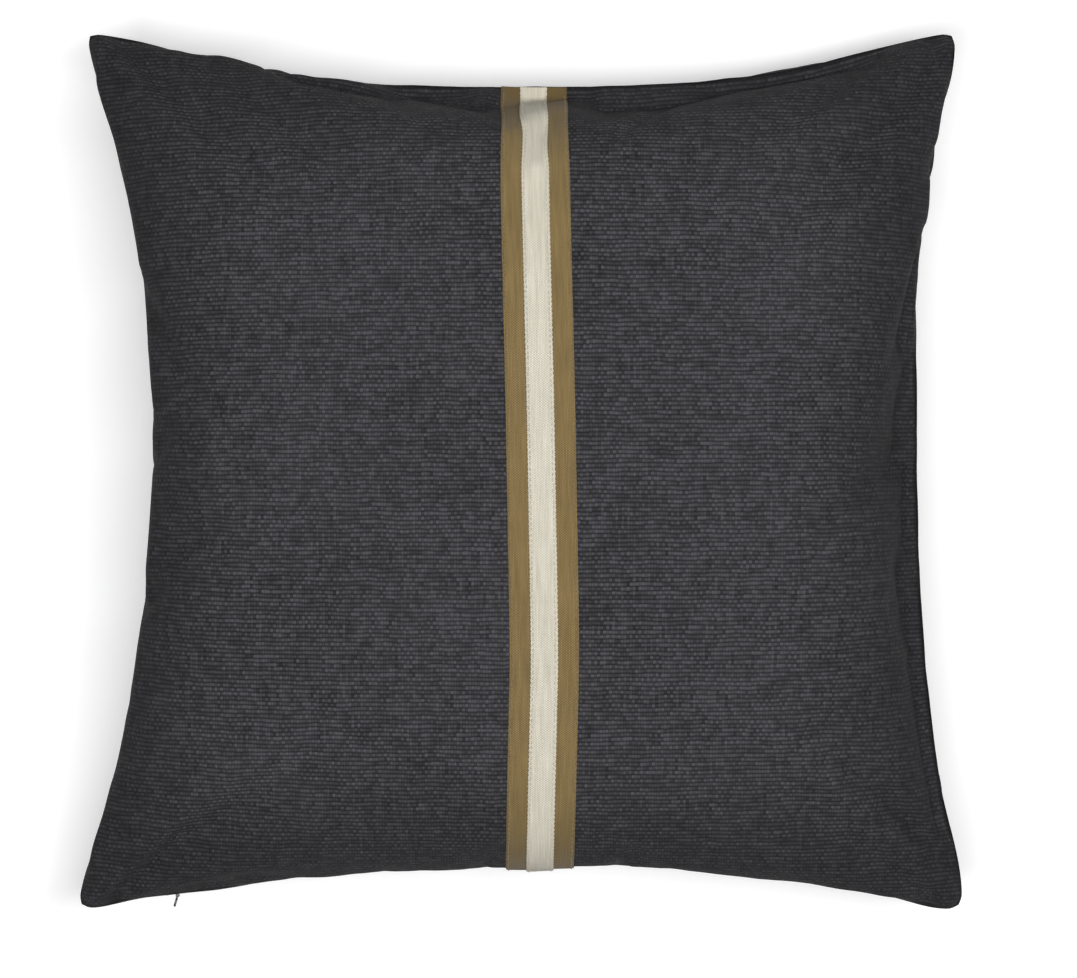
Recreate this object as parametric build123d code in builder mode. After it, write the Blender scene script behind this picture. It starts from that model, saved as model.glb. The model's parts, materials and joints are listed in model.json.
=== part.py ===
from build123d import *
import math
import os

# Square throw pillow on its back: a zipped woven cover with a two-tone sewn stripe, and a filled insert.
# Frame: millimetres, +X to the front's right, +Y to its top edge, +Z out of its front.
# The origin is under the middle of the outline, on the surface that the pillow rests on.

# ---- cover: the sewn seam seen from the front, measured to the corners before they are blunted ----
bottom_width = 505.2        # the zipped edge
top_width = 497.0
cover_height = 497.6
corner_cut = 3.8            # each corner is drawn in by this much along X and Y
corner_cut_power = 12       # the larger, the closer to the corner the cut starts
# how far each edge pulls in at its middle
edge_sag = {"bottom": 24.3, "right": 27.5, "top": 34.5, "left": 42.0}
outline_middle = Vector(0, 1.3)

# ---- cover: crown ----
seam_level = 69.0           # height of the seam over the resting surface, where the back is pressed flat
crown_rise = 80.0           # seam to the highest point of the front
crown_power = 0.55          # 0.5 gives round sides, 1.0 pointed ones
fabric = 1.6                # woven fabric with its backing
allowance = 12.0            # seam allowance turned inside
allowance_layer = 1.0
grid_steps = 14             # points of a crown's surface, less one, each way

# ---- stripe ----
stripe_x = 9.5
gold_width = 38.0
cream_width = 15.0
tape_thickness = 0.8
layer_gap = 0.4
thread = 0.45
stitch_inset = 1.4          # thread line to tape edge
stripe_end = 2.9            # the tapes end this far over the seam's level, clear of the zip slider

# ---- insert ----
insert_inset = 14.0
insert_gap = 1.2            # cover's inside to the insert's outside
insert_fabric = 1.0
insert_layer = 0.8          # the same where the two halves meet
insert_allowance = 8.0
insert_core = 2.0           # insert's outside to its filling

# ---- zip along the bottom edge: s is inward from the seam line, z is up from the seam's level ----
zip_reach = 206.0           # half of the zip's length along X
slider_reach = 197.0        # the slider's place at each end of its travel
stop_length = 3.0
coil_inset = 4.4
coil_radius = 0.72
coil_offset = 1.2           # half the distance between the coils: room for the slider's wedge
zip_tape_layer = 0.4
zip_tape_level = 3.6
slider_clear = 0.35
slider_length = 9.0
slider_inner = 2.6          # the slider's hidden body runs from here
slider_outer = 6.2          # to here
slider_half_width = 3.1
neck_half_width = 0.5
plate_length = 7.4
plate_half_width = 2.1
pivot_x = 2.4               # the pull's pin, from the slider's middle
pivot_out = 2.2             # and outside the seam line
pin_radius = 0.5
pull_length = 6.6
pull_width = 4.2
pull_thickness = 1.1
pull_lean = 24.0            # degrees from straight out, towards the left

out_dir = "parts"
os.makedirs(out_dir, exist_ok=True)


def write(piece, name):
    piece.part.label = name
    export_step(piece.part, os.path.join(out_dir, name + ".step"))


# ---- the crown's formula: u and v run from -1 to 1 across a panel ----
def edge_reach(edge, inset, along):
    """Distance from the middle of the pillow to one edge, at a place along that edge from -1 to 1."""
    half = cover_height / 2 if edge in ("top", "bottom") else (bottom_width + top_width) / 4
    return half - inset - edge_sag[edge] * (1 - along**2)


def crown_height(u, v, rise):
    return rise * max(math.cos(math.pi * u / 2) * math.cos(math.pi * v / 2), 0) ** crown_power


def between(low_reach, high_reach, share):
    """A smooth run from -low_reach at share -1 to high_reach at share 1, through 0."""
    return (high_reach + low_reach) / 2 * share + (high_reach - low_reach) / 2 * share**2


def crown_point(u, v, rise, inset):
    """A point of the crown, measured from the middle of the seam's level."""
    taper = (bottom_width - top_width) / 4 * v**3
    cut = corner_cut * abs(u * v) ** corner_cut_power
    x = between(edge_reach("left", inset, v), edge_reach("right", inset, v), u)
    x -= u * taper + math.copysign(cut, u)
    y = between(edge_reach("bottom", inset, u), edge_reach("top", inset, u), v) - math.copysign(cut, v)
    return Vector(x, y, crown_height(u, v, rise))


def share_at_x(x, v, inset):
    """The u at which the crown has this x, away from the corners."""
    low, high = edge_reach("left", inset, v), edge_reach("right", inset, v)
    mean = (high + low) / 2 - (bottom_width - top_width) / 4 * v**3
    lean = (high - low) / 2
    return (math.sqrt(mean**2 + 4 * lean * x) - mean) / (2 * lean) if lean else x / mean


def spread(steps, limit=1.0):
    """Shares from -limit to limit that crowd together near the edges, where the crown is steep."""
    return [math.sin(math.pi / 2 * (2 * step / steps - 1) * limit) for step in range(steps + 1)]


def crown_solid(side, rise, inset, foot=0.0):
    """A solid from foot mm off the seam's level to the crown: side is 1 for the front and -1 for the back."""
    base = outline_middle + Vector(0, 0, seam_level + side * foot)
    shares = spread(grid_steps)
    rows = [[base + crown_point(u, v, side * (rise - foot), inset) for v in shares] for u in shares]
    crown = Face.make_surface_from_array_of_points(rows)
    return Solid(Shell([crown, Face(crown.outer_wire())]))


def seam_ring(inset_outside, inset_inside, low_z, high_z):
    """A flat ring along the seam."""
    with BuildPart() as ring:
        extrude(outline_face(inset_outside, low_z), amount=high_z - low_z)
        extrude(outline_face(inset_inside, low_z), amount=high_z - low_z, mode=Mode.SUBTRACT)
    return ring.part


def outline_face(inset, height):
    """The seam's outline, drawn in by inset, at a height over the seam's level."""
    base = outline_middle + Vector(0, 0, seam_level + height)
    shares = spread(grid_steps)
    sides = [[(share, -1) for share in shares], [(1, share) for share in shares],
             [(-share, 1) for share in shares], [(-1, -share) for share in shares]]
    with BuildSketch(Plane(base)) as outline:
        with BuildLine():
            for side in sides:
                Spline([crown_point(u, v, 0, inset) for u, v in side])
        make_face()
    return outline.sketch


# ---- the zip's route: the arc of the bottom edge ----
half_chord = bottom_width / 2
arc_radius = (half_chord**2 + edge_sag["bottom"] ** 2) / (2 * edge_sag["bottom"])
arc_centre = outline_middle + Vector(0, -edge_reach("bottom", 0, 0) - arc_radius, seam_level)
zip_axis = Axis(arc_centre, (0, 0, -1))


def arc_angle(place):
    """Degrees along the arc from its middle to a place, in mm to the right of the middle."""
    return math.degrees(math.asin(place / arc_radius))


def radial(place):
    angle = math.radians(arc_angle(place))
    return Vector(math.sin(angle), math.cos(angle), 0)


def zip_plane(place):
    """Plane across the zip: x is outward from the arc's centre, y is up."""
    outward = radial(place)
    return Plane(arc_centre, x_dir=outward, z_dir=outward.cross(Vector(0, 0, 1)))


def zip_sweep(profile, start, end):
    """Turn a face on zip_plane(start) along the arc as far as end."""
    return revolve(profile, axis=zip_axis, revolution_arc=arc_angle(end) - arc_angle(start), mode=Mode.PRIVATE)


def zip_block(start, end, low_s, high_s, low_z, high_z):
    with BuildSketch(zip_plane(start)) as profile:
        with Locations((arc_radius + (low_s + high_s) / 2, (low_z + high_z) / 2)):
            Rectangle(high_s - low_s, high_z - low_z)
    return zip_sweep(profile.sketch, start, end)


tunnel_reach = slider_reach + slider_length / 2 + 1
tunnel_half_width = slider_half_width + slider_clear
tunnel = zip_block(-tunnel_reach, tunnel_reach, slider_inner - slider_clear, slider_outer + slider_clear,
                   -tunnel_half_width, tunnel_half_width)
neck_slot = zip_block(-tunnel_reach, tunnel_reach, -4, slider_inner,
                      -neck_half_width - slider_clear, neck_half_width + slider_clear)
zip_mouth = zip_block(-zip_reach, zip_reach, slider_inner, allowance + 1.5, -1.5, 1.5)


# ---- cover panels: crown, and the seam allowance turned in at the seam's level ----
def panel_hollow(side):
    """The space inside one panel, less the folded allowance that the zip tape is sewn to."""
    fold_low = zip_tape_level + zip_tape_layer
    fold = sorted((side * fold_low, side * (fold_low + allowance_layer)))
    with BuildPart() as hollow:
        add(crown_solid(side, crown_rise - fabric, fabric, allowance_layer))
        add(zip_block(-zip_reach, zip_reach, 0, allowance, *fold), mode=Mode.SUBTRACT)
    return hollow.part


def under(height):
    """Everything under a height, which is taken off the back so that it rests flat."""
    return extrude(outline_face(0, height - seam_level), amount=-crown_rise, mode=Mode.PRIVATE)


allowance_window = extrude(outline_face(allowance, 0), amount=allowance_layer + 0.5, both=True)
openings = [allowance_window, tunnel, neck_slot, zip_mouth]

with BuildPart() as front_panel:
    add(crown_solid(1, crown_rise, 0))
    add(panel_hollow(1), mode=Mode.SUBTRACT)
    add(openings, mode=Mode.SUBTRACT)
write(front_panel, "front_panel")

back_space = panel_hollow(-1) - under(fabric)
with BuildPart() as back_panel:
    add(crown_solid(-1, crown_rise, 0))
    add(under(0), mode=Mode.SUBTRACT)
    add(back_space, mode=Mode.SUBTRACT)
    add(openings, mode=Mode.SUBTRACT)
write(back_panel, "back_panel")


# ---- stripe: two tapes laid on the front and the four thread lines that hold them ----
def stripe_band(offset, width, low, thickness):
    """A layer over the front panel along one lengthwise band of the stripe."""
    base = outline_middle + Vector(0, 0, seam_level)
    end_cosine = (stripe_end / crown_rise) ** (1 / crown_power)
    end_share = 2 / math.pi * math.acos(end_cosine)
    limit = 2 / math.pi * math.asin(end_share)
    rows = []
    for step in range(4):
        x = stripe_x + offset + width * (step / 3 - 0.5)
        shares = [(share_at_x(x, v, -low), v) for v in spread(grid_steps, limit)]
        rows.append([base + crown_point(u, v, crown_rise + low, -low) for u, v in shares])
    return Solid.thicken(Face.make_surface_from_array_of_points(rows), thickness, normal_override=Vector(0, 0, 1))


gold_low = layer_gap
cream_low = gold_low + tape_thickness + layer_gap
cream_thread_low = cream_low + tape_thickness + layer_gap
gold_line = gold_width / 2 - stitch_inset
cream_line = cream_width / 2 - stitch_inset
stripe_pieces = {
    "gold_tape": (0, gold_width, gold_low, tape_thickness),
    "cream_tape": (0, cream_width, cream_low, tape_thickness),
    "gold_tape_stitching_left": (-gold_line, thread, cream_low, thread),
    "gold_tape_stitching_right": (gold_line, thread, cream_low, thread),
    "cream_tape_stitching_left": (-cream_line, thread, cream_thread_low, thread),
    "cream_tape_stitching_right": (cream_line, thread, cream_thread_low, thread),
}
for name, sizes in stripe_pieces.items():
    with BuildPart() as stripe_piece:
        add(stripe_band(*sizes))
    write(stripe_piece, name)

# ---- seam threads: a lockstitch over the front allowance, and an overlock round both raw edges ----
lockstitch_inset = 5.2
with BuildPart() as edge_seam_thread:
    add(seam_ring(lockstitch_inset, lockstitch_inset + thread, allowance_layer, allowance_layer + thread))
    add(zip_block(-zip_reach, zip_reach, 0, allowance, -tunnel_half_width, tunnel_half_width), mode=Mode.SUBTRACT)
write(edge_seam_thread, "edge_seam_thread")

with BuildPart() as overlock_thread:
    add(seam_ring(allowance + 0.05, allowance + 0.05 + thread, -allowance_layer - 0.2, allowance_layer + 0.2))
    add(zip_mouth, mode=Mode.SUBTRACT)
write(overlock_thread, "overlock_thread")


# ---- care label: a blank satin strip caught in the left seam, lying on the front allowance ----
def seam_label(middle, width, length, low_z):
    with BuildSketch(Plane.XY.offset(seam_level + low_z)) as label:
        with Locations(middle):
            Rectangle(width, length)
    return extrude(label.sketch, amount=0.4, mode=Mode.PRIVATE)


left_reach = edge_reach("left", 0, 0)
right_reach = edge_reach("right", 0, 0)
with BuildPart() as care_label:
    add(seam_label((outline_middle.X - left_reach + 7.6, -40), 7.0, 45, allowance_layer + thread + 0.1))
write(care_label, "care_label")

# ---- insert: a plain white cushion with its own seam, label and filling ----
insert_rise = crown_rise - fabric - insert_gap
insert_floor = fabric + insert_gap


def insert_half(side, depth):
    """One half of the insert, drawn in by depth from the insert's outside."""
    with BuildPart() as half:
        add(crown_solid(side, insert_rise - depth, insert_inset + depth))
        if side < 0:
            add(under(insert_floor + depth), mode=Mode.SUBTRACT)
    return half.part


for name, side in (("insert_front", 1), ("insert_back", -1)):
    with BuildPart() as insert_panel:
        add(insert_half(side, 0))
        add(crown_solid(side, insert_rise - insert_fabric, insert_inset + insert_fabric, insert_layer)
            - under(insert_floor + insert_fabric), mode=Mode.SUBTRACT)
        extrude(outline_face(insert_inset + insert_allowance, 0), amount=insert_layer + 0.5, both=True,
                mode=Mode.SUBTRACT)
    write(insert_panel, name)

insert_edge = insert_inset + insert_allowance + 0.05
with BuildPart() as insert_seam_thread:
    add(seam_ring(insert_edge, insert_edge + thread, -insert_fabric - 0.2, insert_fabric + 0.2))
write(insert_seam_thread, "insert_seam_thread")

with BuildPart() as filling:
    add([insert_half(1, insert_core), insert_half(-1, insert_core)])
    add(seam_ring(insert_inset - 2, insert_edge + thread + 0.2, -insert_fabric - 0.4, insert_fabric + 0.4),
        mode=Mode.SUBTRACT)
write(filling, "filling")

with BuildPart() as insert_label:
    add(seam_label((outline_middle.X + right_reach - 5.4, -60), 8.0, 50, -allowance_layer - 0.9))
write(insert_label, "insert_label")

# ---- zip: two tapes, two coils, two end stops ----
coil_end = zip_reach - stop_length - 0.1
for name, side in (("front", 1), ("back", -1)):
    upright = sorted((side * (coil_offset + coil_radius), side * (zip_tape_level + zip_tape_layer)))
    flat = sorted((side * zip_tape_level, side * (zip_tape_level + zip_tape_layer)))
    with BuildPart() as zipper_tape:
        add(zip_block(-zip_reach, zip_reach, coil_inset - zip_tape_layer / 2, coil_inset + zip_tape_layer / 2, *upright))
        add(zip_block(-zip_reach, zip_reach, coil_inset - zip_tape_layer / 2, allowance, *flat))
    write(zipper_tape, "zipper_tape_" + name)
    with BuildPart() as zipper_coil:
        with BuildSketch(zip_plane(-coil_end)) as coil_section:
            with Locations((arc_radius + coil_inset, side * coil_offset)):
                Circle(coil_radius)
        add(zip_sweep(coil_section.sketch, -coil_end, coil_end), mode=Mode.REPLACE)
    write(zipper_coil, "zipper_coil_" + name)

for name, start in (("zipper_top_stop", -zip_reach), ("zipper_bottom_stop", coil_end + 0.1)):
    with BuildPart() as zipper_stop:
        add(zip_block(start, start + stop_length, coil_inset - 1, coil_inset + 1,
                      -coil_offset - coil_radius, coil_offset + coil_radius))
    write(zipper_stop, name)

# ---- zip slider at its closed end: local x runs along the zip to the right, y inward from the seam line ----
slider_outward = radial(-slider_reach)
slider_plane = Plane(arc_centre + slider_outward * arc_radius, x_dir=slider_outward.cross(Vector(0, 0, 1)),
                     z_dir=(0, 0, 1))
body_middle = (slider_inner + slider_outer) / 2
channel_width = 2 * (coil_offset + coil_radius + slider_clear)
channel_depth = 2 * (coil_radius + slider_clear)
plate_near = 0.35
plate_far = 1.2
ear_half_length = 0.9
ear_low = 1.25
ear_high = 1.95
ear_far = 3.1
wedge_length = 2.5
wedge_half_width = 0.15

with BuildPart(slider_plane) as zipper_slider:
    with Locations((0, body_middle, 0)):
        Box(slider_length, slider_outer - slider_inner, 2 * slider_half_width)
    with Locations((0, coil_inset, 0)):
        Box(2 * slider_length, channel_depth, channel_width, mode=Mode.SUBTRACT)
        Box(2 * slider_length, zip_tape_layer + 2 * slider_clear, 3 * slider_half_width, mode=Mode.SUBTRACT)
    with Locations(((wedge_length - slider_length) / 2, body_middle, 0)):
        Box(wedge_length, slider_outer - slider_inner, 2 * wedge_half_width)
    with Locations((0, (slider_inner - plate_near) / 2, 0)):
        Box(4, slider_inner + plate_near, 2 * neck_half_width)
    with Locations((0, -(plate_near + plate_far) / 2, 0)):
        Box(plate_length, plate_far - plate_near, 2 * plate_half_width)
    with Locations((pivot_x, -(plate_far + ear_far) / 2, (ear_low + ear_high) / 2),
                   (pivot_x, -(plate_far + ear_far) / 2, -(ear_low + ear_high) / 2)):
        Box(2 * ear_half_length, ear_far - plate_far, ear_high - ear_low)
    with Locations((pivot_x, -pivot_out, 0)):
        Cylinder(pin_radius, 2 * ear_high)
write(zipper_slider, "zipper_slider")

# ---- zip pull: a short flat tab with a round eye on the slider's pin ----
pivot = slider_plane.from_local_coords(Vector(pivot_x, -pivot_out, 0))
pull_way = -slider_outward.rotate(Axis.Z, -pull_lean)
pull_plane = Plane(pivot, x_dir=(0, 0, 1), z_dir=Vector(0, 0, 1).cross(pull_way))
eye_radius = 0.85
eye_half_width = ear_low - 0.2
shoulder = 1.6
pull_hole = 1.4

with BuildPart(pull_plane) as zipper_pull:
    with BuildSketch(pull_plane):
        with BuildLine():
            Polyline((-eye_half_width, 0), (-eye_half_width, shoulder), (-pull_width / 2, shoulder + 1),
                     (-pull_width / 2, pull_length - pull_width / 2))
            ThreePointArc((-pull_width / 2, pull_length - pull_width / 2), (0, pull_length),
                          (pull_width / 2, pull_length - pull_width / 2))
            Polyline((pull_width / 2, pull_length - pull_width / 2), (pull_width / 2, shoulder + 1),
                     (eye_half_width, shoulder), (eye_half_width, 0), (-eye_half_width, 0))
        make_face()
        with Locations((0, pull_length - pull_width / 2)):
            Circle(pull_hole / 2, mode=Mode.SUBTRACT)
    extrude(amount=pull_thickness / 2, both=True)
    with BuildSketch(Plane(pivot, z_dir=(0, 0, 1)).offset(-eye_half_width)):
        Circle(eye_radius)
    extrude(amount=2 * eye_half_width)
    with BuildSketch(Plane(pivot, z_dir=(0, 0, 1)).offset(-ear_high)):
        Circle(pin_radius + 0.05)
    extrude(amount=2 * ear_high, mode=Mode.SUBTRACT)
write(zipper_pull, "zipper_pull")

cover_box = Compound([front_panel.part, back_panel.part]).bounding_box()
print("cover box", cover_box, "pull box", zipper_pull.part.bounding_box())
print("zip axis", arc_centre, "travel degrees", arc_angle(slider_reach) * 2, "pull pivot", pivot)
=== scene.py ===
import bpy
import json
import math
import random
import numpy as np
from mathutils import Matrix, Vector


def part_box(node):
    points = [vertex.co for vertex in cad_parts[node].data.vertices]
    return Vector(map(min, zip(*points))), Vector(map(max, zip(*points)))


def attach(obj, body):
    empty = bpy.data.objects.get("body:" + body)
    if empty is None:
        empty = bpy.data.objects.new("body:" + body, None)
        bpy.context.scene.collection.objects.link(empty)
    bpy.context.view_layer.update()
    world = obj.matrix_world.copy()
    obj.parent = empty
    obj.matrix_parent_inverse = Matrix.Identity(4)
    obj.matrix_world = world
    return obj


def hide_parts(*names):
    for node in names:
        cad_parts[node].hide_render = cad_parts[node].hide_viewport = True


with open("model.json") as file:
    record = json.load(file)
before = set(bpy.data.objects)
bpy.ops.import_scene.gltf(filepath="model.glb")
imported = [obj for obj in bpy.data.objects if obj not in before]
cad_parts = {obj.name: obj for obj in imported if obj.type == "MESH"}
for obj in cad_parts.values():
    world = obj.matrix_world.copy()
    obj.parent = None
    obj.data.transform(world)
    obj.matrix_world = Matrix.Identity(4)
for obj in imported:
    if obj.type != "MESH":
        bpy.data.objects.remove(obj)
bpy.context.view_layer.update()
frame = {"nodes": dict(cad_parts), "record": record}
scene = bpy.context.scene

# ---- sizes, in metres ----
CUT = 0.508                 # each panel before it was sewn: a 20 inch square
FABRIC, INSERT_FABRIC = 0.0012, 0.0008
WARP_PITCH, WEFT_PITCH, INSERT_PITCH = 0.0016, 0.0024, 0.0007
RIB_PITCH, CORD_PITCH = 0.0013, 0.00085
PLY_PITCH = 0.0012
SIM_STEPS = 64              # cells of a simulated panel, each way
MESH_STEPS = 192            # cells of a finished panel, each way
GOLD_WIDTH, CREAM_WIDTH = 0.038, 0.015
GOLD_LOW, GOLD_HIGH = 0.0003, 0.0011
CREAM_LOW, CREAM_HIGH = 0.0012, 0.0020
STITCH_INSET = 0.0014
SEAM_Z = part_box("edge_seam_thread")[0].z - 0.001   # the seam line's level, under the front allowance

# ---- camera, straight over the pillow ----
camera_data = bpy.data.cameras.new("camera")
camera_data.sensor_width = 36
CAMERA_X, CAMERA_Y, CAMERA_ABOVE_SEAM = 0.0096, -0.0102, 2.0
FRAME_WIDTH = 0.6085        # what the picture spans at the seam's level
camera_data.lens = camera_data.sensor_width * CAMERA_ABOVE_SEAM / FRAME_WIDTH
camera = bpy.data.objects.new("camera", camera_data)
camera.location = (CAMERA_X, CAMERA_Y, SEAM_Z + CAMERA_ABOVE_SEAM)
scene.collection.objects.link(camera)
scene.camera = camera
scene.view_settings.view_transform = "Standard"

# ---- the sewn seam, seen from the front: corners, and how each edge pulls in and waves between them ----
CORNERS = {
    "bl": (-0.2525, -0.2474), "br": (0.2510, -0.2474),
    "tr": (0.2470, 0.2490), "tl": (-0.2478, 0.2490),
}
EDGES = {
    # from, to, sag, power, bumps (place, width, depth), size of the waves out of plane, their phase
    "bottom": ("bl", "br", 0.0243, 2.0,
               [(-0.95, 0.08, -0.002), (-0.67, 0.10, -0.0022), (-0.79, 0.05, -0.0006),
                (0.26, 0.2, 0.0036), (0.60, 0.2, 0.0012), (0.93, 0.09, -0.003)], 0.5, 0.0),
    "right": ("br", "tr", 0.0250, 2.2,
              [(-0.88, 0.1, -0.0025), (0.88, 0.1, -0.0035), (0.60, 0.25, 0.0072)], 1.0, 4.0),
    "top": ("tr", "tl", 0.0320, 2.6,
            [(-0.82, 0.16, -0.0030), (0.84, 0.12, -0.0035), (0.62, 0.1, 0.0015)], 1.0, 2.0),
    "left": ("tl", "bl", 0.0445, 2.0,
             [(-0.88, 0.1, -0.002), (-0.42, 0.3, 0.0018), (0.9, 0.1, -0.0025)], 1.0, 5.5),
}
WAVES = [(0.0012, 4.3, 0.3), (0.0009, 7.1, 1.7), (0.0005, 11.3, 0.9)]   # height, turns in half an edge, phase
CORNER_CUT, CORNER_POWER = 0.0040, 40   # how much a corner is blunted, and how locally
CROWN_POWER = 0.55
DOME, QUICK_DOME = 0.08, 0.078   # seam to crown before the cloth settles
APART = 0.003                    # the flat panels lie this far above and below the seam's level
SEWN_FRAME, LAST_FRAME = 15, 42  # the edges have reached the seam, and the cloth has settled


def edge_point(edge, t):
    """A point of the seam, t from -1 to 1 along an edge."""
    start, end, sag, power, bumps, size, phase = EDGES[edge]
    start, end = np.array(CORNERS[start]), np.array(CORNERS[end])
    along = (end - start) / np.linalg.norm(end - start)
    inward = np.array([-along[1], along[0]])
    depth = sag * (1 - abs(t) ** power)
    depth += sum(height * math.exp(-(((t - place) / width) ** 2)) for place, width, height in bumps)
    cut = CORNER_CUT * abs(t) ** CORNER_POWER
    flat = start + (end - start) * (t + 1) / 2 + inward * (depth + cut) - along * math.copysign(cut, t)
    wave = sum(a * math.sin(2 * math.pi * f * t + q + phase) for a, f, q in WAVES) * size * (1 - t**4)
    return np.array([*flat, SEAM_Z + wave])


def seam_patch(steps):
    """A grid that fills the seam, u then v from -1 to 1."""
    shares = np.linspace(-1, 1, steps + 1)
    top = np.array([edge_point("top", -u) for u in shares])
    bottom = np.array([edge_point("bottom", u) for u in shares])
    left = np.array([edge_point("left", -v) for v in shares])
    right = np.array([edge_point("right", v) for v in shares])
    a = ((shares + 1) / 2)[:, None, None]
    b = ((shares + 1) / 2)[None, :, None]
    sides = (1 - a) * left[None] + a * right[None]
    ends = (1 - b) * bottom[:, None] + b * top[:, None]
    corners = ((1 - a) * (1 - b) * left[0] + a * (1 - b) * right[0]
               + (1 - a) * b * left[-1] + a * b * right[-1])
    return sides + ends - corners


def domed(steps, height):
    """The seam patch raised by a plain crown formula."""
    shares = np.linspace(-1, 1, steps + 1)
    arch = np.outer(np.cos(np.pi * shares / 2), np.cos(np.pi * shares / 2)).clip(0) ** CROWN_POWER
    patch = seam_patch(steps)
    patch[..., 2] += height * arch
    return patch


def inflated(steps):
    """Two flat panels sewn round their edges and blown up as cloth: (front, back) grids of points."""
    shares = np.linspace(-1, 1, steps + 1)
    domes = [domed(steps, DOME), domed(steps, -DOME)]
    places, sewn, flat, pinned, faces = {}, [], [], [], []
    for side in (0, 1):
        for i in range(steps + 1):
            for j in range(steps + 1):
                edge = i in (0, steps) or j in (0, steps)
                if edge and side:
                    places[1, i, j] = places[0, i, j]
                    continue
                places[side, i, j] = len(sewn)
                if edge:
                    pinned.append(len(sewn))
                sewn.append(domes[side][i, j])
                lift = 0 if edge else (-APART if side else APART)
                flat.append((shares[i] * CUT / 2, shares[j] * CUT / 2, SEAM_Z + lift))
        for i in range(steps):
            for j in range(steps):
                quad = [places[side, a, b] for a, b in ((i, j), (i + 1, j), (i + 1, j + 1), (i, j + 1))]
                faces.append(quad[::-1] if side else quad)
    mesh = bpy.data.meshes.new("cloth")
    mesh.from_pydata(flat, [], faces)
    cloth = bpy.data.objects.new("cloth", mesh)
    scene.collection.objects.link(cloth)
    cloth.shape_key_add(name="Basis")
    key = cloth.shape_key_add(name="sewn", from_mix=False)
    key.data.foreach_set("co", np.array(sewn).ravel())
    for value, at in ((0, 1), (1, SEWN_FRAME)):
        key.value = value
        key.keyframe_insert("value", frame=at)
    cloth.vertex_groups.new(name="pin").add(pinned, 1.0, "REPLACE")
    modifier = cloth.modifiers.new("cloth", "CLOTH")
    settings = modifier.settings
    settings.quality = 6
    settings.mass = 0.3
    settings.use_pressure = True
    settings.uniform_pressure_force = 20
    settings.vertex_group_mass = "pin"
    settings.pin_stiffness = 1
    settings.tension_stiffness = settings.compression_stiffness = 30
    settings.shear_stiffness = 7.5
    settings.bending_stiffness = 4
    settings.tension_damping = settings.compression_damping = settings.shear_damping = 15
    settings.bending_damping = 1
    settings.air_damping = 1
    settings.effector_weights.gravity = 0
    modifier.collision_settings.use_collision = False
    for step in range(1, LAST_FRAME + 1):
        scene.frame_set(step)
    settled = cloth.evaluated_get(bpy.context.evaluated_depsgraph_get()).data
    points = np.empty(len(settled.vertices) * 3)
    settled.vertices.foreach_get("co", points)
    points = points.reshape(-1, 3)
    grids = [np.array([[points[places[side, i, j]] for j in range(steps + 1)] for i in range(steps + 1)])
             for side in (0, 1)]
    bpy.data.objects.remove(cloth)
    scene.frame_set(1)
    return grids


front, back = inflated(SIM_STEPS)


def tucked(grid, keep):
    """The grid with what overhangs the bottom and left seams drawn back to them."""
    below = grid[:, :1, 1] - grid[..., 1]
    beside = grid[:1, :, 0] - grid[..., 0]
    calmer = grid.copy()
    calmer[..., 1] += below.clip(0) * (1 - keep)
    calmer[..., 0] += beside.clip(0) * (1 - keep)
    return calmer


OVERHANG_KEPT = 0.3
REST_BLEND, REST_SINK = 0.004, 0.0003   # how softly the back is pressed flat on what it lies on
front, back = tucked(front, OVERHANG_KEPT), tucked(back, OVERHANG_KEPT)
back[..., 2] = (back[..., 2] + np.sqrt(back[..., 2] ** 2 + REST_BLEND**2)) / 2 - REST_SINK


# ---- smooth sampling of a grid ----
def sample(grid, u, v):
    """Smooth points of a grid at u and v, arrays from -1 to 1."""
    count = grid.shape[0] - 1
    wide = np.zeros((count + 3, count + 3, 3))
    wide[1:-1, 1:-1] = grid
    wide[0], wide[-1] = 2 * wide[1] - wide[2], 2 * wide[-2] - wide[-3]
    wide[:, 0], wide[:, -1] = 2 * wide[:, 1] - wide[:, 2], 2 * wide[:, -2] - wide[:, -3]

    def weights(w):
        x = np.clip((w + 1) / 2 * count, 0, count)
        cell = np.minimum(x.astype(int), count - 1)
        t = x - cell
        return cell, [(-t**3 + 2 * t**2 - t) / 2, (3 * t**3 - 5 * t**2 + 2) / 2,
                      (-3 * t**3 + 4 * t**2 + t) / 2, (t**3 - t**2) / 2]

    cell_u, weight_u = weights(np.asarray(u, float))
    cell_v, weight_v = weights(np.asarray(v, float))
    return sum((weight_u[k] * weight_v[m])[..., None] * wide[cell_u + k, cell_v + m]
               for k in range(4) for m in range(4))


def normals(grid, u, v, sign):
    """Unit normals of a grid at u and v, turned by sign."""
    step = 0.01
    along_u = sample(grid, np.clip(u + step, -1, 1), v) - sample(grid, np.clip(u - step, -1, 1), v)
    along_v = sample(grid, u, np.clip(v + step, -1, 1)) - sample(grid, u, np.clip(v - step, -1, 1))
    across = np.cross(along_u, along_v) * sign
    return across / np.linalg.norm(across, axis=-1, keepdims=True)


# ---- meshes ----
def make_object(name, points, faces, uv, material):
    mesh = bpy.data.meshes.new(name)
    mesh.from_pydata([tuple(p) for p in points], [], faces)
    layer = mesh.uv_layers.new(name="flat")
    corners = np.empty(len(mesh.loops), dtype=np.int64)
    mesh.loops.foreach_get("vertex_index", corners)
    layer.data.foreach_set("uv", np.asarray(uv)[corners].ravel())
    mesh.polygons.foreach_set("use_smooth", [True] * len(mesh.polygons))
    mesh.materials.append(material)
    obj = bpy.data.objects.new(name, mesh)
    scene.collection.objects.link(obj)
    return obj


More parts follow.
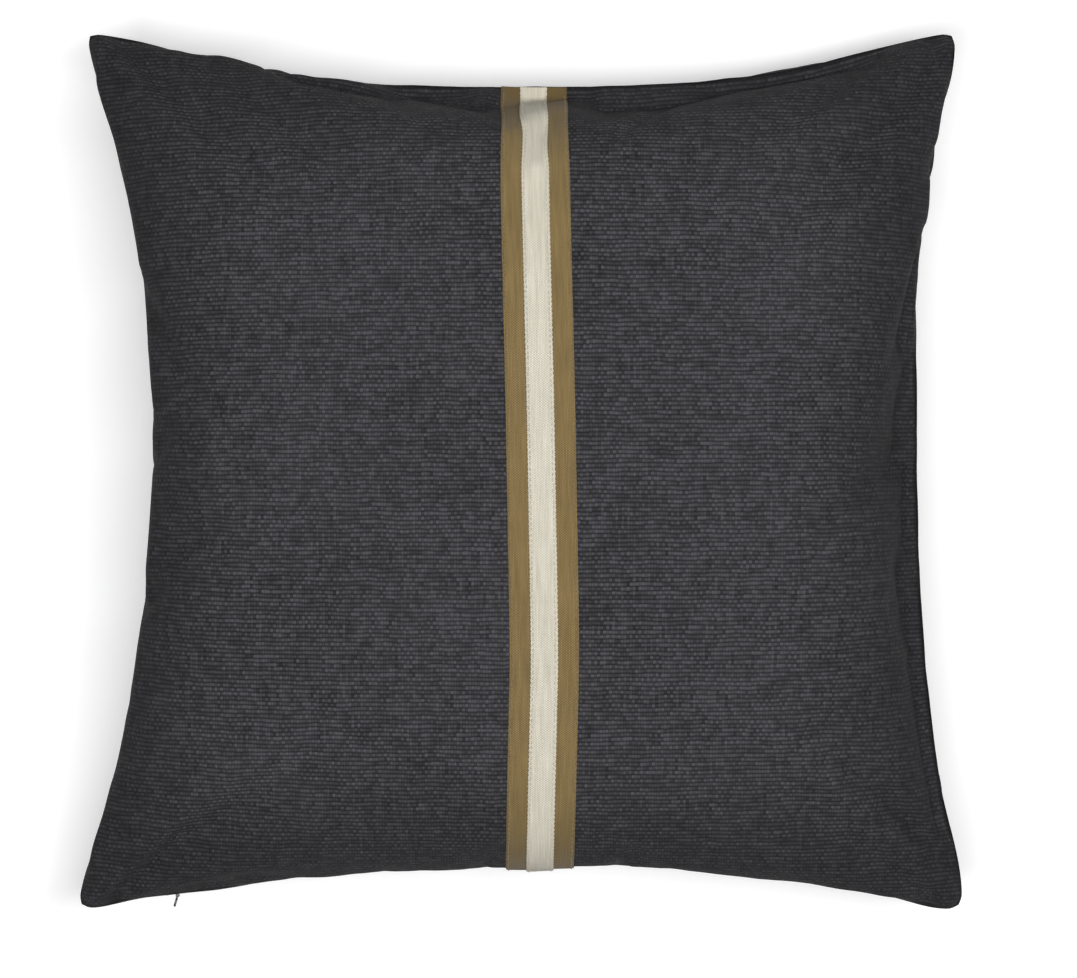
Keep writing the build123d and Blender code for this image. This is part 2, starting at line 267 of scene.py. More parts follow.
def grid_faces(rows, columns, flip=False, start=0):
    faces = []
    for i in range(rows - 1):
        for j in range(columns - 1):
            a = start + i * columns + j
            quad = (a, a + columns, a + columns + 1, a + 1)
            faces.append(quad[::-1] if flip else quad)
    return faces


def panel(name, grid, sign, thickness, material):
    """A panel of cloth over a grid, as thick as the cloth, on the inside of it."""
    shares = np.linspace(-1, 1, MESH_STEPS + 1)
    u, v = np.meshgrid(shares, shares, indexing="ij")
    points = sample(grid, u, v).reshape(-1, 3)
    uv = np.stack([(u + 1) / 2, (v + 1) / 2], -1).reshape(-1, 2)
    obj = make_object(name, points, grid_faces(len(shares), len(shares), sign < 0), uv, material)
    solid = obj.modifiers.new("thickness", "SOLIDIFY")
    solid.thickness = thickness
    solid.offset = -1
    return obj


def seam_gap(grid, sign, plain, zip_gap, slider_gap):
    """The grid moved off the seam's level, more along the zip, and most where the slider rests in the lips."""
    moved = grid.copy()
    shares = np.linspace(-1, 1, grid.shape[0])
    zip_part = 1 / (1 + np.exp((np.abs(shares) - 0.84) * 60))
    slider_part = np.exp(-(((shares + 0.775) / 0.07) ** 2))
    near = np.exp(-(shares + 1) / 0.06)
    moved[..., 2] += sign * (plain + np.outer(zip_gap * zip_part + slider_gap * slider_part, near))
    return moved


LIP_GAPS = (0.0002, 0.0005, 0.0022)   # all round, along the zip, at the slider
front, back = seam_gap(front, 1, *LIP_GAPS), seam_gap(back, -1, *LIP_GAPS)
back[..., 2] = back[..., 2].clip(0)


# ---- materials ----
class Tree:
    """Short names for building a material's nodes."""

    def __init__(self, name, **principled):
        self.material = bpy.data.materials.new(name)
        self.material.use_nodes = True
        self.nodes, self.links = self.material.node_tree.nodes, self.material.node_tree.links
        self.shader = self.nodes["Principled BSDF"]
        for socket, value in principled.items():
            self.shader.inputs[socket.replace("_", " ")].default_value = value

    def feed(self, node, values):
        for socket, value in values.items():
            if isinstance(value, bpy.types.NodeSocket):
                self.links.new(value, node.inputs[socket])
            elif value is not None:
                node.inputs[socket].default_value = value

    def node(self, kind, values, out=0, **settings):
        node = self.nodes.new(kind)
        for key, value in settings.items():
            setattr(node, key, value)
        self.feed(node, values)
        return node.outputs[out]

    def math(self, operation, a, b=None, c=None):
        return self.node("ShaderNodeMath", {0: a, 1: b, 2: c}, operation=operation)

    def flat(self, across, along):
        """The piece's own flat coordinates: across and along are what one unit of the map spans."""
        uv = self.node("ShaderNodeUVMap", {}, uv_map="flat")
        return self.node("ShaderNodeVectorMath", {0: uv, 1: (across, along, 1)}, operation="MULTIPLY")

    def split(self, vector):
        node = self.nodes.new("ShaderNodeSeparateXYZ")
        self.links.new(vector, node.inputs[0])
        return node.outputs[0], node.outputs[1]

    def join(self, x, y, z=0.0):
        return self.node("ShaderNodeCombineXYZ", {0: x, 1: y, 2: z})

    def noise(self, vector, scale, detail=2.0, roughness=0.5):
        return self.node("ShaderNodeTexNoise", {"Vector": vector, "Scale": scale, "Detail": detail,
                                                "Roughness": roughness})

    def span(self, value, low, high, to_low, to_high):
        return self.node("ShaderNodeMapRange", {0: value, 1: low, 2: high, 3: to_low, 4: to_high})

    def mix(self, share, a, b, blend="MIX"):
        node = self.nodes.new("ShaderNodeMix")
        node.data_type, node.blend_type = "RGBA", blend
        self.feed(node, {0: share, 6: a, 7: b})
        return node.outputs[2]

    def finish(self, colour, roughness, height, distance, strength=1.0):
        bump = self.node("ShaderNodeBump", {"Height": height, "Distance": distance, "Strength": strength})
        self.feed(self.shader, {"Base Color": colour, "Roughness": roughness, "Normal": bump})
        return self.material


def weave(name, size, warp_pitch, weft_pitch, dark, light, roughness, relief, slub, sheen,
          wander=0.5, uneven=0.0, painted_edge_shade=0.0):
    """Plain-woven cloth, with painted shade towards its edges and along its seams: size is what the map spans,
    the weft runs across.
    """
    tree = Tree(name, Sheen_Weight=sheen, Sheen_Roughness=0.5, Specular_IOR_Level=0.2)
    flat = tree.flat(size, size)
    drift = tree.noise(flat, 60.0, 3.0)
    drift = tree.math("MULTIPLY", tree.math("SUBTRACT", drift, 0.5), wander)
    x, y = tree.split(flat)
    x = tree.math("ADD", tree.math("DIVIDE", x, warp_pitch), drift)
    y = tree.math("ADD", tree.math("DIVIDE", y, weft_pitch), drift)
    cell_x, cell_y = tree.math("FLOOR", x), tree.math("FLOOR", y)
    arch_x = tree.math("SINE", tree.math("MULTIPLY", tree.math("FRACT", x), math.pi))
    arch_y = tree.math("SINE", tree.math("MULTIPLY", tree.math("FRACT", y), math.pi))
    pair = tree.math("MULTIPLY", tree.math("ADD", cell_x, cell_y), 0.5)
    over = tree.math("MULTIPLY", tree.math("FRACT", pair), 2.0)
    weft_height = tree.math("MULTIPLY", arch_y, tree.math("MULTIPLY_ADD", arch_x, 0.25, 0.75))
    warp_height = tree.math("MULTIPLY", arch_y, tree.math("MULTIPLY_ADD", arch_x, 0.35, 0.30))
    height = tree.math("ADD", tree.math("MULTIPLY", weft_height, tree.math("SUBTRACT", 1.0, over)),
                       tree.math("MULTIPLY", warp_height, over))
    weft_slub = tree.noise(tree.join(tree.math("MULTIPLY", x, 0.10), cell_y, 1.3), 1.0, 2.0)
    warp_slub = tree.noise(tree.join(cell_x, tree.math("MULTIPLY", y, 0.12), 7.1), 1.0, 2.0)
    yarn = tree.math("ADD", tree.math("MULTIPLY", weft_slub, tree.math("SUBTRACT", 1.0, over)),
                     tree.math("MULTIPLY", warp_slub, over))
    fuzz = tree.noise(flat, 2600.0, 3.0, 0.6)
    thick = tree.span(yarn, 0.32, 0.68, 1 - slub, 1 + slub)
    height = tree.math("ADD", tree.math("MULTIPLY", height, thick), tree.math("MULTIPLY", fuzz, 0.18))
    broad = tree.noise(flat, 9.0, 3.0)
    dash = tree.join(tree.math("FLOOR", pair), cell_y)
    crossing = tree.node("ShaderNodeTexWhiteNoise", {"Vector": dash}, noise_dimensions="2D")
    tone = tree.math("ADD", tree.math("MULTIPLY", tree.span(yarn, 0.3, 0.7, 0.0, 1.0), slub),
                     tree.math("MULTIPLY", tree.span(height, 0.15, 0.95, 0.0, 1.0), 1 - slub))
    tone = tree.math("MULTIPLY", tone, tree.span(crossing, 0.0, 1.0, 1 - uneven, 1 + uneven * 0.8))
    tone = tree.math("ADD", tone, tree.span(broad, 0.3, 0.7, -0.06, 0.06))
    edge_x, edge_y = tree.split(tree.flat(1.0, 1.0))
    near_x = tree.math("MINIMUM", edge_x, tree.math("SUBTRACT", 1.0, edge_x))
    near_y = tree.math("MINIMUM", edge_y, tree.math("SUBTRACT", 1.0, edge_y))
    near = tree.math("MINIMUM", near_x, near_y)
    # painted shade: a darker line along the seam, in the last 2.5 mm or so of cloth next to each edge
    seam_shade_mask = tree.span(near, 0.0008, 0.005, 0.0, 1.0)
    # painted shade: the cloth's tone is drawn darker towards the panel's edges, from about 110 mm of cloth in
    # to about 20 mm from them
    edge_shade_factor = tree.node("ShaderNodeMapRange", {0: near, 1: 0.04, 2: 0.22, 3: 1 - painted_edge_shade, 4: 1.0},
                     interpolation_type="SMOOTHSTEP")
    edge_shade_offset = tree.math("MULTIPLY", edge_shade_factor, 0.45)
    tone = tree.math("MULTIPLY_ADD", tree.math("SUBTRACT", tone, 0.45), edge_shade_factor, edge_shade_offset)
    seam_shade_colour = (*[part * 0.6 for part in dark[:3]], 1.0)
    colour = tree.mix(seam_shade_mask, seam_shade_colour, tree.mix(tone, dark, light))
    return tree.finish(colour, tree.span(fuzz, 0.2, 0.8, roughness - 0.06, roughness + 0.06), height, relief)


def ribbed(name, width, length, rib_pitch, dark, light, roughness, relief, end_shade):
    """Narrow woven tape: fine ribs across it and small crossings along each rib. Its ends are darker, in
    painted shade.
    """
    tree = Tree(name, Sheen_Weight=0.15, Sheen_Roughness=0.5, Specular_IOR_Level=0.25)
    flat = tree.flat(width, length)
    x, y = tree.split(flat)
    drift = tree.math("MULTIPLY", tree.math("SUBTRACT", tree.noise(flat, 90.0, 3.0), 0.5), 0.35)
    across = tree.math("ADD", tree.math("DIVIDE", x, CORD_PITCH), drift)
    along = tree.math("ADD", tree.math("DIVIDE", y, rib_pitch), drift)
    parity = tree.math("MULTIPLY", tree.math("FLOOR", across), 0.5)
    rib = tree.math("MULTIPLY", tree.math("ADD", along, parity), math.pi)
    rib = tree.math("ABSOLUTE", tree.math("SINE", rib))
    cord = tree.math("ABSOLUTE", tree.math("SINE", tree.math("MULTIPLY", across, math.pi)))
    height = tree.math("MULTIPLY", rib, tree.math("MULTIPLY_ADD", cord, 0.5, 0.5))
    fuzz = tree.noise(flat, 3000.0, 3.0, 0.6)
    stretched = tree.join(tree.math("FLOOR", across), tree.math("MULTIPLY", along, 0.05), 3.7)
    yarn = tree.noise(stretched, 1.0, 2.0)
    height = tree.math("ADD", height, tree.math("MULTIPLY", fuzz, 0.3))
    broad = tree.noise(flat, 30.0, 3.0)
    tone = tree.math("ADD", tree.math("MULTIPLY", tree.span(yarn, 0.3, 0.7, 0.0, 1.0), 0.35),
                     tree.math("MULTIPLY", tree.span(height, 0.1, 1.1, 0.0, 1.0), 0.65))
    tone = tree.math("ADD", tone, tree.span(broad, 0.3, 0.7, -0.1, 0.1))
    # painted shade: the tape is drawn darker towards both its ends, over the last 17 % of its length at each
    # end
    share = tree.split(tree.flat(1.0, 1.0))[1]
    end = tree.math("MINIMUM", share, tree.math("SUBTRACT", 1.0, share))
    tone = tree.math("MULTIPLY", tone, tree.span(end, 0.03, 0.17, 1 - end_shade, 1.0))
    return tree.finish(tree.mix(tone, dark, light),
                       tree.span(fuzz, 0.2, 0.8, roughness - 0.05, roughness + 0.08), height, relief)


def twisted(name, dark, light, pitch, roughness=0.6, sheen=0.2):
    """Sewing thread: plies that wind round it, by the object's own place."""
    tree = Tree(name, Sheen_Weight=sheen, Specular_IOR_Level=0.35)
    place = tree.node("ShaderNodeTexCoord", {}, out=3)
    winding = {"Vector": place, "Scale": 1 / pitch, "Distortion": 1.5, "Detail": 2.0, "Detail Scale": 2.0}
    ply = tree.node("ShaderNodeTexWave", winding, out=1, bands_direction="DIAGONAL")
    fuzz = tree.noise(place, 4000.0, 2.0)
    height = tree.math("ADD", ply, tree.math("MULTIPLY", fuzz, 0.4))
    return tree.finish(tree.mix(ply, dark, light),
                       tree.span(fuzz, 0.2, 0.8, roughness - 0.08, roughness + 0.08), height, 0.0001)


def tufted(name, dark, light):
    """Carded polyester filling: soft clumps and fine crossing fibres."""
    tree = Tree(name, Sheen_Weight=0.5, Sheen_Roughness=0.6, Specular_IOR_Level=0.15, Roughness=0.9)
    place = tree.node("ShaderNodeTexCoord", {}, out=3)
    clump = tree.noise(place, 45.0, 5.0, 0.6)
    tangle = {"Vector": place, "Scale": 260.0, "Distortion": 14.0, "Detail": 4.0, "Detail Scale": 1.6}
    fibre = tree.node("ShaderNodeTexWave", tangle, out=1)
    height = tree.math("ADD", clump, tree.math("MULTIPLY", fibre, 0.15))
    return tree.finish(tree.mix(clump, dark, light), tree.span(fibre, 0.0, 1.0, 0.82, 0.95), height, 0.003)


def enamelled(name, dark, light, metal, low, high):
    """Dark enamelled zip hardware with rubbed, less glossy patches and fine scratches."""
    tree = Tree(name, Metallic=metal, Specular_IOR_Level=0.6)
    place = tree.node("ShaderNodeTexCoord", {}, out=3)
    patch = tree.noise(place, 900.0, 4.0, 0.6)
    stretched = tree.node("ShaderNodeVectorMath", {0: place, 1: (3000.0, 300.0, 300.0)}, operation="MULTIPLY")
    scratch = tree.noise(stretched, 2.0, 3.0, 0.7)
    return tree.finish(tree.mix(tree.span(patch, 0.4, 0.75, 0.0, 1.0), dark, light),
                       tree.span(tree.math("ADD", patch, scratch), 0.7, 1.3, low, high), scratch, 0.00004)


def herringbone(name, dark, light, pitch):
    """Narrow zip tape or satin label, by the object's own place."""
    tree = Tree(name, Sheen_Weight=0.1, Specular_IOR_Level=0.25)
    place = tree.node("ShaderNodeTexCoord", {}, out=3)
    twill = tree.node("ShaderNodeTexWave", {"Vector": place, "Scale": 0.31 / pitch, "Distortion": 0.6}, out=1,
                      bands_direction="DIAGONAL", wave_profile="TRI")
    fuzz = tree.noise(place, 2500.0, 3.0)
    height = tree.math("ADD", twill, tree.math("MULTIPLY", fuzz, 0.4))
    return tree.finish(tree.mix(twill, dark, light), tree.span(fuzz, 0.2, 0.8, 0.6, 0.8), height, 0.00012)


COVER_DARK, COVER_LIGHT = (0.010, 0.010, 0.011, 1), (0.086, 0.084, 0.093, 1)
# the cover cloth is painted darker towards its edges, as shade
cover_cloth = weave("cover_cloth", CUT, WARP_PITCH, WEFT_PITCH, COVER_DARK, COVER_LIGHT, 0.85, 0.0006, 0.32,
                    0.02, wander=0.9, uneven=0.38, painted_edge_shade=0.50)
# the tapes' ends are painted darker as shade, the gold's much more than the cream's
gold_cloth = ribbed("gold_tape_weave", GOLD_WIDTH, CUT, RIB_PITCH,
                    (0.125, 0.083, 0.029, 1), (0.325, 0.228, 0.090, 1), 0.7, 0.0003, end_shade=0.8)
cream_cloth = ribbed("cream_tape_weave", CREAM_WIDTH, CUT, RIB_PITCH,
                     (0.50, 0.46, 0.36, 1), (0.88, 0.835, 0.71, 1), 0.7, 0.0003, end_shade=0.15)
insert_cloth = weave("insert_cloth", CUT, INSERT_PITCH, INSERT_PITCH,
                     (0.60, 0.60, 0.58, 1), (0.88, 0.88, 0.86, 1), 0.85, 0.0002, 0.3, 0.1, wander=0.2)
filling_fibre = tufted("filling_fibre", (0.62, 0.61, 0.58, 1), (0.92, 0.91, 0.89, 1))
gold_yarn = twisted("gold_thread_plies", (0.15, 0.105, 0.04, 1), (0.34, 0.25, 0.115, 1), PLY_PITCH)
cream_yarn = twisted("cream_thread_plies", (0.45, 0.40, 0.30, 1), (0.80, 0.74, 0.60, 1), PLY_PITCH)
dark_yarn = twisted("dark_thread_plies", (0.010, 0.010, 0.011, 1), (0.045, 0.045, 0.05, 1), PLY_PITCH)
white_yarn = twisted("white_thread_plies", (0.6, 0.6, 0.58, 1), (0.9, 0.9, 0.88, 1), PLY_PITCH)
zip_cloth = herringbone("zip_tape_twill", (0.008, 0.008, 0.009, 1), (0.035, 0.035, 0.038, 1), 0.0012)
label_satin = herringbone("label_satin", (0.66, 0.65, 0.62, 1), (0.86, 0.85, 0.82, 1), 0.0006)
zip_enamel = enamelled("zip_enamel", (0.012, 0.012, 0.013, 1), (0.10, 0.10, 0.105, 1), 0.55, 0.28, 0.5)
coil_plastic = enamelled("coil_plastic", (0.010, 0.010, 0.011, 1), (0.03, 0.03, 0.033, 1), 0.0, 0.35, 0.55)

CAD_MATERIALS = {
    "dark_thread": dark_yarn, "white_thread": white_yarn, "label": label_satin,
    "zip_tape": zip_cloth, "zip_coil": coil_plastic, "zip_metal": zip_enamel,
}
for subpart in frame["record"]["subparts"]:
    if subpart["material_slot"] in CAD_MATERIALS:
        node = frame["nodes"][subpart["node"]]
        for index in range(len(node.data.materials)):
            node.data.materials[index] = CAD_MATERIALS[subpart["material_slot"]]

# ---- cover, insert and filling ----
INSERT_SCALE, INSERT_RISE = 0.94, 0.955     # the insert beside the cover, sideways and upwards
FILLING_SCALE, FILLING_RISE = 0.915, 0.92
cover_front = panel("cover_front", front, 1, FABRIC, cover_cloth)
cover_back = panel("cover_back", back, -1, FABRIC, cover_cloth)
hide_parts("front_panel")
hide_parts("back_panel")
seam_centre = np.array([0.0, 0.0013, SEAM_Z])


def shrunk(grid, sideways, upwards):
    """The grid drawn in towards the middle of the seam's level, and made calmer."""
    calm = grid.copy()
    for _ in range(3):
        calm[1:-1, 1:-1] = (calm[:-2, 1:-1] + calm[2:, 1:-1] + calm[1:-1, :-2] + calm[1:-1, 2:]) / 4
    return seam_centre + (calm - seam_centre) * (sideways, sideways, upwards)


insert_front = panel("pad_front", shrunk(front, INSERT_SCALE, INSERT_RISE), 1, INSERT_FABRIC, insert_cloth)
insert_back = panel("pad_back", shrunk(back, INSERT_SCALE, INSERT_RISE), -1, INSERT_FABRIC, insert_cloth)
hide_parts("insert_front")
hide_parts("insert_back")


def closed_pair(name, top, bottom, steps, material):
    """One closed piece between two grids that share their border."""
    shares = np.linspace(-1, 1, steps + 1)
    u, v = np.meshgrid(shares, shares, indexing="ij")
    points, uv, faces = [], [], []
    places = {}
    for side, grid in enumerate((top, bottom)):
        layer = sample(grid, u, v)
        for i in range(steps + 1):
            for j in range(steps + 1):
                if side and (i in (0, steps) or j in (0, steps)):
                    places[1, i, j] = places[0, i, j]
                    continue
                places[side, i, j] = len(points)
                points.append(layer[i, j])
                uv.append(((u[i, j] + 1) / 2, (v[i, j] + 1) / 2))
        for i in range(steps):
            for j in range(steps):
                quad = [places[side, a, b] for a, b in ((i, j), (i + 1, j), (i + 1, j + 1), (i, j + 1))]
                faces.append(quad[::-1] if side else quad)
    return make_object(name, points, faces, uv, material)


FILLING_STEPS, LUMP = 96, 0.0012
lumps = random.Random(7)
fill_top, fill_bottom = (shrunk(grid, FILLING_SCALE, FILLING_RISE) for grid in (front, back))
for layer, sign in ((fill_top, -1), (fill_bottom, 1)):
    for i in range(1, layer.shape[0] - 1):
        for j in range(1, layer.shape[1] - 1):
            layer[i, j, 2] += sign * lumps.uniform(0, LUMP)
filling = closed_pair("filling_wad", fill_top, fill_bottom, FILLING_STEPS, filling_fibre)
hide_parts("filling")

# ---- stripe: the tapes follow the front panel by its flat coordinates ----
STRIPE_PATH = [   # Y, and the X of the stripe's middle line there
    (-0.26, 0.0096), (-0.186, 0.0110), (-0.101, 0.0130), (0.040, 0.0105), (0.136, 0.0082), (0.26, 0.0059),
]
row_shares = np.linspace(-1, 1, 201)
fine = np.linspace(-0.25, 0.35, 241)
centres = []
for v in row_shares:
    row = sample(front, fine, np.full_like(fine, v))
    place = np.interp(row[len(row) // 2, 1], *zip(*STRIPE_PATH))
    centres.append(np.interp(place, row[:, 0], fine))
smooth_kernel = np.hanning(31) / np.hanning(31).sum()
padded_centres = np.concatenate([np.full(15, centres[0]), centres, np.full(15, centres[-1])])
centre_line = np.convolve(padded_centres, smooth_kernel, mode="valid")


def stripe_points(across, v, lift):
    """Points over the front panel: across in metres from the stripe's middle line, lift off the cloth."""
    u = np.interp(v, row_shares, centre_line) + across / (CUT / 2)
    return sample(front, u, v) + normals(front, u, v, 1) * np.asarray(lift)[..., None]


def tape(name, width, low, high, teeth, tooth_pitch, material):
    """A tape sewn on the front, with a firm edge that waves a little between the weft turns."""
    across = np.array([-1, -0.985, -0.9, -0.6, -0.3, 0, 0.3, 0.6, 0.9, 0.985, 1.0])
    top = np.array([0.35, 0.85, 1, 0.94, 0.97, 0.95, 0.97, 0.94, 1, 0.85, 0.35])
    across = np.concatenate([across, across[::-1]])
    lift = np.concatenate([low + (high - low) * top, np.full(len(top), low)])
    rings = 900
    v = np.linspace(-0.9985, 0.9985, rings)
    edge = width / 2 + teeth * np.sin(2 * np.pi * v * CUT / 2 / tooth_pitch)
    wide = across[None, :] * np.where(np.abs(across)[None, :] > 0.95, edge[:, None], width / 2)
    rows = np.repeat(v[:, None], len(across), 1)
    points = stripe_points(wide, rows, np.repeat(lift[None], rings, 0)).reshape(-1, 3)
    uv = np.stack([wide / width + 0.5, (rows + 1) / 2], -1).reshape(-1, 2)
    count = len(across)
    faces = [(i * count + j, i * count + (j + 1) % count,
              (i + 1) * count + (j + 1) % count, (i + 1) * count + j)
             for i in range(rings - 1) for j in range(count)]
    half = count // 2
    for start, turn in ((0, 1), ((rings - 1) * count, -1)):
        caps = [(start + j, start + count - 1 - j, start + count - 2 - j, start + j + 1)
                for j in range(half - 1)]
        faces += [cap[::turn] for cap in caps]
    return make_object(name, points, faces, uv, material)


EDGE_TURN = 0.0026          # between the weft's turns at a tape's edge
gold_tape = tape("gold_band", GOLD_WIDTH, GOLD_LOW, GOLD_HIGH, 0.00012, EDGE_TURN, gold_cloth)
cream_tape = tape("cream_band", CREAM_WIDTH, CREAM_LOW, CREAM_HIGH, 0.00018, EDGE_TURN, cream_cloth)
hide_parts("gold_tape")
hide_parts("cream_tape")


def stitch_row(name, across, lift, material, seed):
    """A row of separate stitches, each a short plump length of thread that dips at its ends."""
    pitch, length, radius = 0.0030, 0.0024, 0.00032
    dice = random.Random(seed)
    sides, stations = 6, 7
    turn = np.linspace(0, 2 * np.pi, sides, endpoint=False)
    share = np.linspace(-1, 1, stations)
    points, faces, uv = [], [], []
    for start in np.arange(-CUT / 2 + 0.004, CUT / 2 - 0.004, pitch):
        middle = start + dice.uniform(-0.0002, 0.0002)
        side_step = across + dice.uniform(-0.00015, 0.00015)
        v = (middle + share * length / 2) / (CUT / 2)
        spread = radius * np.sqrt(np.clip(1.05 - share**4, 0, 1))
        rise = lift + radius * (0.55 - 1.3 * share**4)
        base = len(points)
        for k in range(stations):
            wide = side_step + spread[k] * np.cos(turn)
            high = rise[k] + spread[k] * np.sin(turn)
            points.extend(stripe_points(wide, np.full(sides, v[k]), high))
            uv.extend([(0.5, (v[k] + 1) / 2)] * sides)
        for k in range(stations - 1):
            for s in range(sides):
                a, b = base + k * sides + s, base + k * sides + (s + 1) % sides
                faces.append((a, b, b + sides, a + sides))
        faces.append(tuple(base + s for s in reversed(range(sides))))
        faces.append(tuple(base + (stations - 1) * sides + s for s in range(sides)))
    return make_object(name, points, faces, uv, material)


gold_line, cream_line = GOLD_WIDTH / 2 - STITCH_INSET, CREAM_WIDTH / 2 - STITCH_INSET
stitches = []
for name, across, lift, yarn, slot, seed in (
    ("gold_tape_stitching_left", -gold_line, GOLD_HIGH, gold_yarn, "gold_thread", 1),
    ("gold_tape_stitching_right", gold_line, GOLD_HIGH, gold_yarn, "gold_thread", 2),
    ("cream_tape_stitching_left", -cream_line, CREAM_HIGH, cream_yarn, "cream_thread", 3),
    ("cream_tape_stitching_right", cream_line, CREAM_HIGH, cream_yarn, "cream_thread", 4),
):
    row = stitch_row(name.replace("stitching", "stitches"), across, lift, yarn, seed)
    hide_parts(name)
    stitches.append(row)


# ---- inside the seam: thread lines and labels, between the two panels ----
def inside(u, v, lift):
    """Points half way between the two panels, raised by lift."""
    return (sample(front, u, v) + sample(back, u, v)) / 2 + np.stack([0 * lift, 0 * lift, lift], -1)


def seam_loop(name, inset, lift, radius, pitch, material, scale=1.0, zip_side=True):
    """A thread that runs round inside the seam in small waves, along the zip as well if zip_side."""
    reach = 1 - inset / (CUT / 2)
    run = np.linspace(-reach, reach, 340)
    whole = np.full_like(run, reach)
    routes = [(whole, run), (-run, whole), (-whole, -run)]
    routes += [(run, -whole)] if zip_side else []
    sides = 6
    turn = np.linspace(0, 2 * np.pi, sides, endpoint=False)
    points, faces, uv = [], [], []
    for route_u, route_v in routes:
        line = inside(route_u, route_v, np.full_like(run, lift))
        line = seam_centre + (line - seam_centre) * (scale, scale, 1)
        line[:, 2] += radius * 0.8 * np.sin(2 * np.pi * run * CUT / 2 / pitch)
        ahead = np.gradient(line, axis=0)
        ahead /= np.linalg.norm(ahead, axis=1, keepdims=True)
        across = np.cross(ahead, (0, 0, 1))
        across /= np.linalg.norm(across, axis=1, keepdims=True)
        above = np.cross(across, ahead)
        base, count = len(points), len(run)
        ring = across[:, None] * np.cos(turn)[None, :, None] + above[:, None] * np.sin(turn)[None, :, None]
        points.extend((line[:, None] + radius * ring).reshape(-1, 3))
        uv.extend([(0.5, 0.5)] * (count * sides))
        faces += [(base + i * sides + k, base + i * sides + (k + 1) % sides,
                   base + (i + 1) * sides + (k + 1) % sides, base + (i + 1) * sides + k)
                  for i in range(count - 1) for k in range(sides)]
        faces.append(tuple(base + k for k in reversed(range(sides))))
        faces.append(tuple(base + (count - 1) * sides + k for k in range(sides)))
    return make_object(name, points, faces, uv, material)


LABEL_SATIN = 0.0003


def label(name, side, along, width, length, inset, lift, scale, material):
    """A satin strip caught in the seam at one side, a little wavy."""
    steps = np.linspace(0, 1, 9)
    row, column = np.meshgrid(steps, steps, indexing="ij")
    u = side * (1 - (inset + width * row) / (CUT / 2))
    v = (along + length * (column - 0.5)) / (CUT / 2)
    points = inside(u, v, lift + 0.0003 * np.sin(5 * row + 3 * column))
    points = seam_centre + (points - seam_centre) * (scale, scale, 1)
    uv = np.stack([row, column], -1).reshape(-1, 2)
    faces = grid_faces(len(steps), len(steps), side > 0)
    obj = make_object(name, points.reshape(-1, 3), faces, uv, material)
    obj.modifiers.new("thickness", "SOLIDIFY").thickness = LABEL_SATIN
    return obj


lockstitch = seam_loop("lockstitch", 0.0052, 0.0008, 0.0003, 0.003, dark_yarn, zip_side=False)
overlock = seam_loop("overlock", 0.0120, 0.0, 0.0005, 0.002, dark_yarn, zip_side=False)
insert_stitch = seam_loop("pad_overlock", 0.0085, 0.0, 0.0005, 0.002, white_yarn,
                          scale=INSERT_SCALE)
care_label = label("care_tag", -1, -0.040, 0.0080, 0.045, 0.0065, 0.0010, 1.0, label_satin)
insert_label = label("pad_tag", 1, -0.060, 0.0080, 0.050, 0.0075, -0.0010, 1.0, label_satin)
for piece, node in (
    (lockstitch, "edge_seam_thread"), (overlock, "overlock_thread"), (insert_stitch, "insert_seam_thread"),
    (care_label, "care_label"), (insert_label, "insert_label"),
):
    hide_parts(node)
    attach(piece, "cover")

# ---- riding ----
for piece in [cover_front, cover_back, insert_front, insert_back, filling, gold_tape, cream_tape, *stitches]:
    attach(piece, "cover")

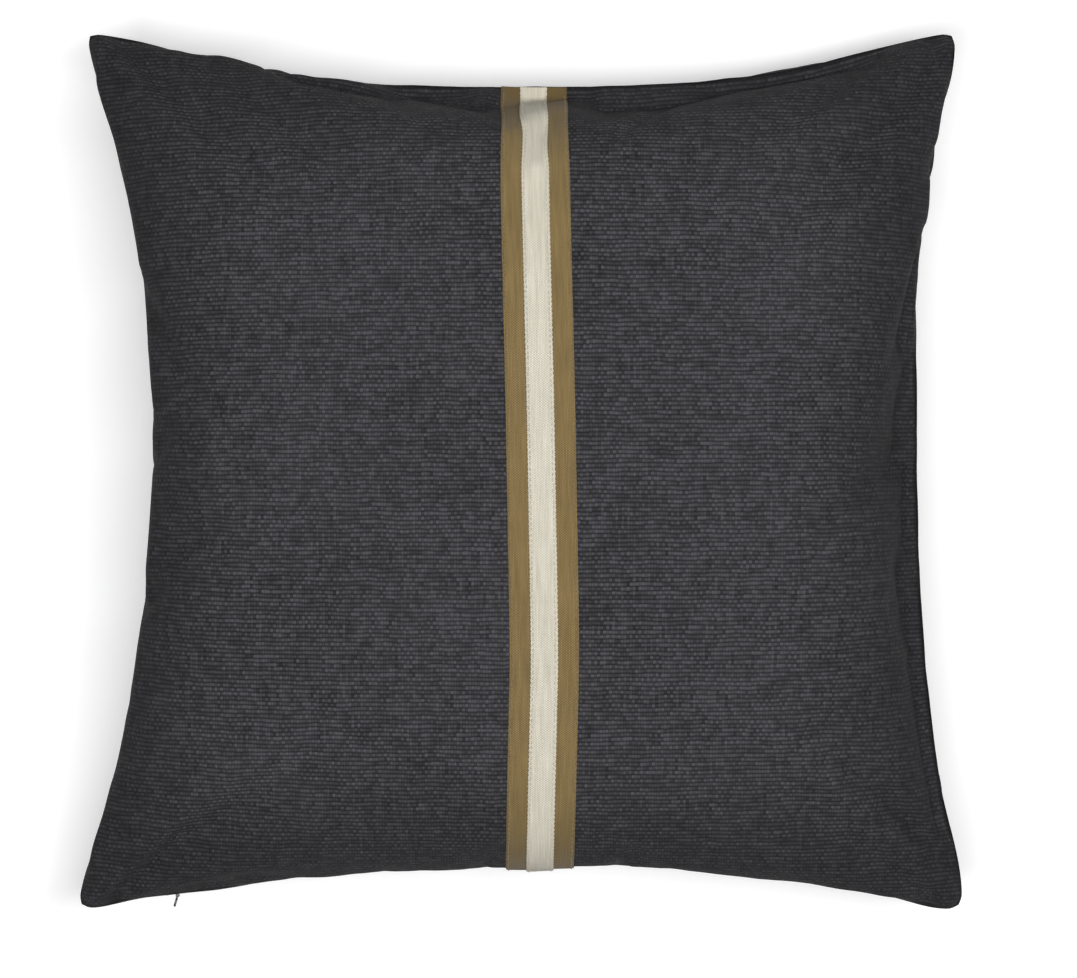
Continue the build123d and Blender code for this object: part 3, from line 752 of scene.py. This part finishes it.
# ---- floor and light ----
FLOOR_HALF = 6.0
FLOOR_GLOW, BACKDROP_GLOW, WORLD_LIGHT = 0.26, 0.8, 0.16
floor_tree = Tree("floor_paper", Roughness=0.9, Specular_IOR_Level=0.1)
floor_grain = floor_tree.noise(floor_tree.node("ShaderNodeTexCoord", {}, out=3), 900.0, 3.0)
floor_colour = floor_tree.mix(floor_grain, (0.90, 0.90, 0.90, 1), (0.92, 0.92, 0.92, 1))
floor_tree.feed(floor_tree.shader, {"Emission Color": (1, 1, 1, 1), "Emission Strength": FLOOR_GLOW})
floor_material = floor_tree.finish(floor_colour, 0.9, floor_grain, 0.00005)
floor_mesh = bpy.data.meshes.new("floor")
floor_corners = [(x * FLOOR_HALF, y * FLOOR_HALF, 0) for x, y in ((-1, -1), (1, -1), (1, 1), (-1, 1))]
floor_mesh.from_pydata(floor_corners, [], [(0, 1, 2, 3)])
floor_mesh.materials.append(floor_material)
floor = bpy.data.objects.new("floor", floor_mesh)
scene.collection.objects.link(floor)
floor.visible_diffuse = False

backdrop_material = bpy.data.materials.new("backdrop_paper")
backdrop_material.use_nodes = True
backdrop_shader = backdrop_material.node_tree.nodes["Principled BSDF"]
backdrop_shader.inputs["Base Color"].default_value = (0, 0, 0, 1)
backdrop_shader.inputs["Emission Color"].default_value = (1, 1, 1, 1)
backdrop_shader.inputs["Emission Strength"].default_value = BACKDROP_GLOW
bpy.ops.mesh.primitive_uv_sphere_add(radius=FLOOR_HALF * 0.95, segments=48, ring_count=24)
backdrop = bpy.context.object
backdrop.name = "backdrop"
backdrop.data.materials.append(backdrop_material)
backdrop.visible_diffuse = backdrop.visible_glossy = backdrop.visible_shadow = False

world = bpy.data.worlds.new("studio")
scene.world = world
world.use_nodes = True
world.node_tree.nodes["Background"].inputs["Color"].default_value = (1, 1, 1, 1)
world.node_tree.nodes["Background"].inputs["Strength"].default_value = WORLD_LIGHT


LIGHT_AIM = (0, 0, 0.05)


def soft_light(name, place, aim, wide, deep, power):
    """A rectangular lamp of wide by deep metres, in watts."""
    data = bpy.data.lights.new(name, "AREA")
    data.shape = "RECTANGLE"
    data.size, data.size_y = wide, deep
    data.energy = power
    light = bpy.data.objects.new(name, data)
    light.location = place
    direction = Vector(aim) - Vector(place)
    light.rotation_euler = direction.to_track_quat("-Z", "Y").to_euler()
    scene.collection.objects.link(light)


soft_light("key", (0.1, -0.25, 2.7), LIGHT_AIM, 2.4, 0.6, 62)
soft_light("rim", (1.2, 1.2, 2.2), LIGHT_AIM, 0.7, 0.7, 9)
